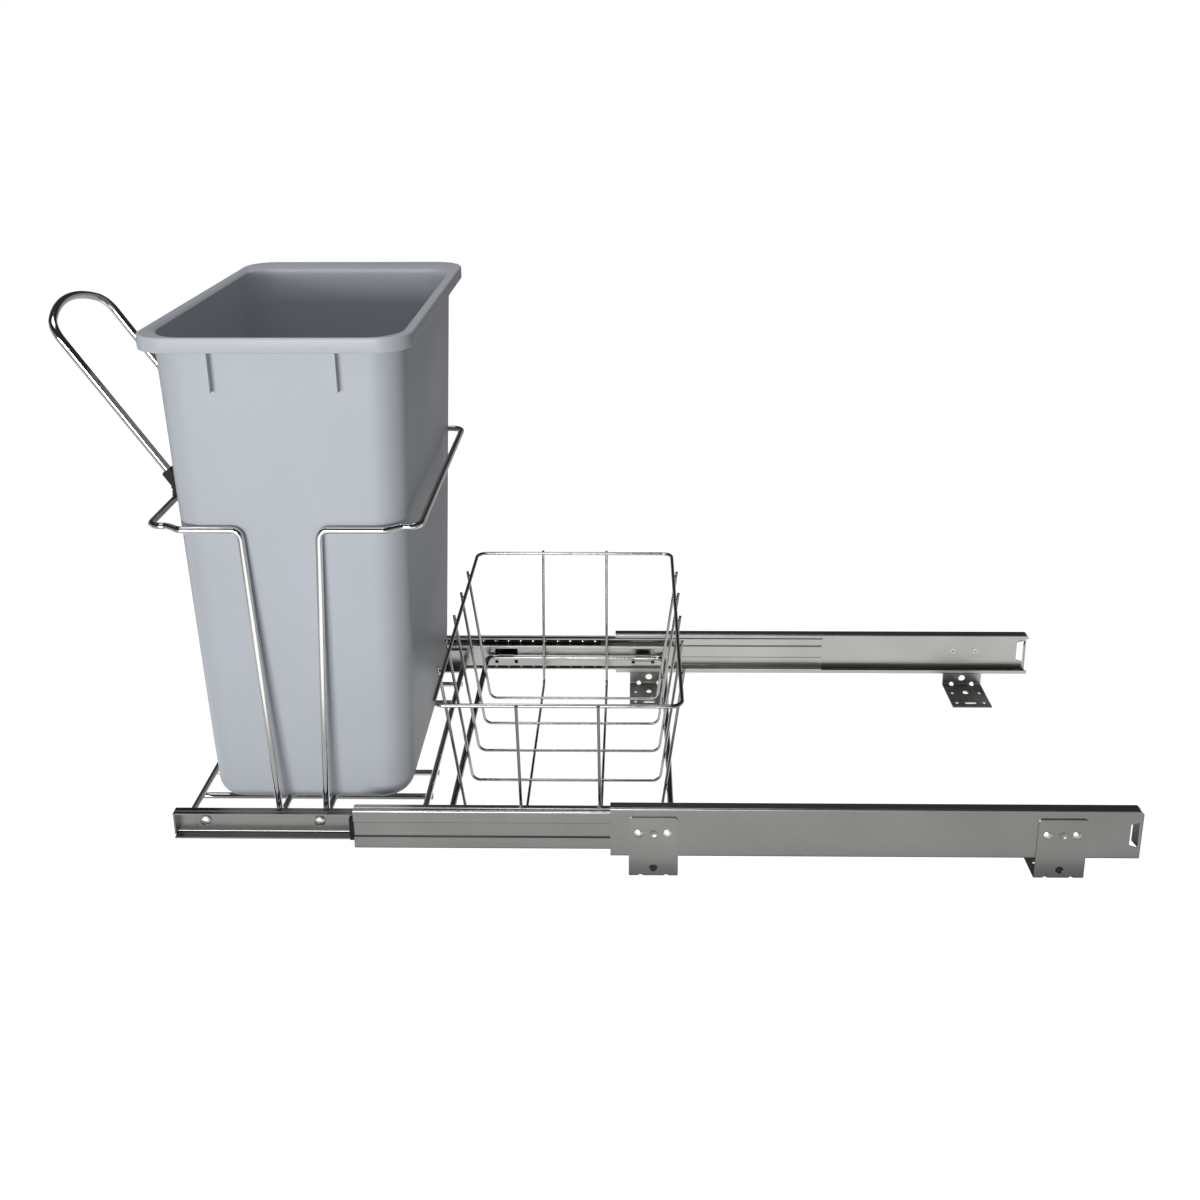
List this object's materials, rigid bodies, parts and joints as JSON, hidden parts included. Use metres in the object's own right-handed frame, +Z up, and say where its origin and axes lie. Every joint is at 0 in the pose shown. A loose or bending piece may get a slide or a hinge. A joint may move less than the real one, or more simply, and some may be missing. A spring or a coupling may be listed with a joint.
{
  "type": "pull out bin frame",
  "caption": "Under-counter pull-out frame on full-length ball slides with floor brackets, holding a lift-out waste bin in wire hoops, a lift-out wire basket and a hinged wire pull handle.",
  "frame": {"origin": "centre of the four floor screws of the brackets, on the cabinet floor", "axes": "+X points to the rear of the cabinet, against the pull, +Y to the left seen from the front, +Z up; the rest pose is pulled out as in the picture"},
  "size_m": [1.0569, 0.381, 0.5374],
  "materials": {
    "slide_steel": "bright zinc plated cold rolled steel",
    "bracket_steel": "zinc plated steel sheet",
    "bright_steel": "bright plated steel",
    "ball_steel": "polished bearing steel",
    "chrome_wire": "chrome plated steel wire",
    "black_plastic": "moulded black nylon",
    "bin_plastic": "injection moulded blue-grey polypropylene"
  },
  "bodies": {
    "cabinet_side": {"right_cabinet_member": "slide_steel", "left_cabinet_member": "slide_steel", "right_front_bracket": "bracket_steel", "right_rear_bracket": "bracket_steel", "left_front_bracket": "bracket_steel", "left_rear_bracket": "bracket_steel", "bracket_rivets": "bright_steel"},
    "outer_ball_sets": {"right_outer_cage": "bright_steel", "left_outer_cage": "bright_steel", "outer_balls": "ball_steel"},
    "middle": {"right_middle_member": "slide_steel", "left_middle_member": "slide_steel", "right_bumper": "black_plastic", "left_bumper": "black_plastic"},
    "inner_ball_sets": {"right_inner_cage": "black_plastic", "left_inner_cage": "black_plastic", "inner_balls": "ball_steel"},
    "drawer": {"right_drawer_member": "slide_steel", "left_drawer_member": "slide_steel", "right_side_rail": "slide_steel", "left_side_rail": "slide_steel", "rail_screws": "bright_steel", "base_cross_wires": "chrome_wire", "base_long_wires": "chrome_wire", "front_hoop": "chrome_wire", "rear_hoop": "chrome_wire", "basket_ring": "chrome_wire"},
    "handle": {"handle_loop": "chrome_wire", "right_handle_clip": "black_plastic", "left_handle_clip": "black_plastic"},
    "bin_body": {"bin": "bin_plastic"},
    "basket": {"basket_rim": "chrome_wire", "basket_long_hoops": "chrome_wire", "basket_cross_hoops": "chrome_wire"}
  },
  "joints": [
    {"name": "drawer_slide", "type": "slide", "parent": "cabinet_side", "child": "drawer", "axis": [1, 0, 0], "range_m": [0, 0.417]},
    {"name": "middle_slide", "type": "slide", "parent": "cabinet_side", "child": "middle", "axis": [1, 0, 0], "range_m": [0, 0.24686]},
    {"name": "outer_ball_roll", "type": "slide", "parent": "cabinet_side", "child": "outer_ball_sets", "axis": [1, 0, 0], "range_m": [0, 0.12343]},
    {"name": "inner_ball_roll", "type": "slide", "parent": "cabinet_side", "child": "inner_ball_sets", "axis": [1, 0, 0], "range_m": [0, 0.33193]},
    {"name": "handle_hinge", "type": "hinge", "parent": "drawer", "child": "handle", "pos_m": [-0.66496, 0, 0.3485], "axis": [0, 1, 0], "range_deg": [-140, 30]},
    {"name": "bin_lift", "type": "slide", "parent": "drawer", "child": "bin_body", "axis": [0, 0, 1], "range_m": [0, 0.32]},
    {"name": "basket_lift", "type": "slide", "parent": "drawer", "child": "basket", "axis": [0, 0, 1], "range_m": [0, 0.15]}
  ],
  "couplings": [
    {"joint": "middle_slide", "follows": "drawer_slide", "ratio": 0.592},
    {"joint": "outer_ball_roll", "follows": "drawer_slide", "ratio": 0.296},
    {"joint": "inner_ball_roll", "follows": "drawer_slide", "ratio": 0.796}
  ]
}
